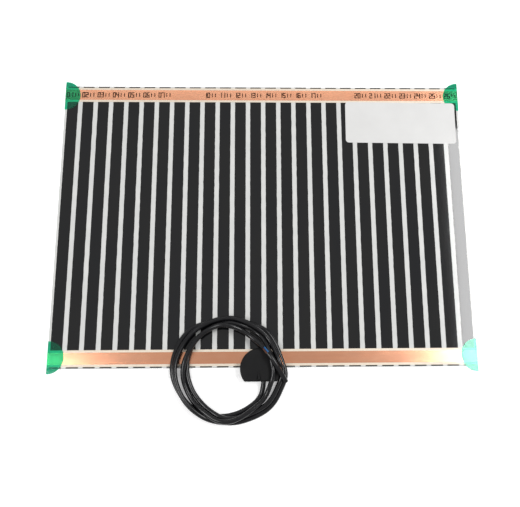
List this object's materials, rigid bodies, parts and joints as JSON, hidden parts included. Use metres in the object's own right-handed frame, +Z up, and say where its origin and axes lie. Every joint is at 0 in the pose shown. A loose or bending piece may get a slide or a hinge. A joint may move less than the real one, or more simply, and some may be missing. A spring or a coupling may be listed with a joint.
{
  "type": "mirror heating mat",
  "caption": "Thin self-adhesive heating film for the back of a mirror, with printed carbon stripes between copper busbars, a terminal housing and a coiled two-core cord.",
  "frame": {"origin": "bottom centre of the mat's box, without the cord", "axes": "+X along the row of stripes, -Y towards the edge with the terminal housing, +Z up off the printed face"},
  "size_m": [0.3642, 0.3125, 0.0176],
  "materials": {
    "heating_film": "clear polyester film, glossy, milky from its adhesive layer",
    "carbon_print": "black carbon print behind clear film, glossy",
    "silver_print": "cream silver print",
    "copper_foil": "bare copper foil, satin, seen through clear film",
    "edge_tape": "clear green polyester tape",
    "sticker": "plain white coated paper sticker",
    "housing": "black moulded plastic, finely textured",
    "cord_sheath": "black flexible cord sheath, smooth with a soft shine",
    "core_blue": "blue core insulation",
    "core_brown": "brown core insulation"
  },
  "bodies": {
    "root": {"heating_film": "heating_film", "carbon_stripe_01": "carbon_print", "carbon_stripe_02": "carbon_print", "carbon_stripe_03": "carbon_print", "carbon_stripe_04": "carbon_print", "carbon_stripe_05": "carbon_print", "carbon_stripe_06": "carbon_print", "carbon_stripe_07": "carbon_print", "carbon_stripe_08": "carbon_print", "carbon_stripe_09": "carbon_print", "carbon_stripe_10": "carbon_print", "carbon_stripe_11": "carbon_print", "carbon_stripe_12": "carbon_print", "carbon_stripe_13": "carbon_print", "carbon_stripe_14": "carbon_print", "carbon_stripe_15": "carbon_print", "carbon_stripe_16": "carbon_print", "carbon_stripe_17": "carbon_print", "carbon_stripe_18": "carbon_print", "carbon_stripe_19": "carbon_print", "carbon_stripe_20": "carbon_print", "carbon_stripe_21": "carbon_print", "carbon_stripe_22": "carbon_print", "carbon_stripe_23": "carbon_print", "carbon_stripe_24": "carbon_print", "carbon_stripe_25": "carbon_print", "carbon_stripe_26": "carbon_print", "silver_band_top": "silver_print", "silver_band_bottom_left": "silver_print", "silver_band_bottom_right": "silver_print", "copper_busbar_top": "copper_foil", "copper_busbar_bottom_left": "copper_foil", "copper_busbar_bottom_right": "copper_foil", "edge_tape_top_left": "edge_tape", "edge_tape_top_right": "edge_tape", "edge_tape_bottom_left": "edge_tape", "edge_tape_bottom_right": "edge_tape", "sticker": "sticker", "terminal_housing": "housing", "cord_coil": "cord_sheath", "cord_end": "cord_sheath", "sheath_slug": "cord_sheath", "core_blue": "core_blue", "core_brown": "core_brown"}
  },
  "joints": []
}
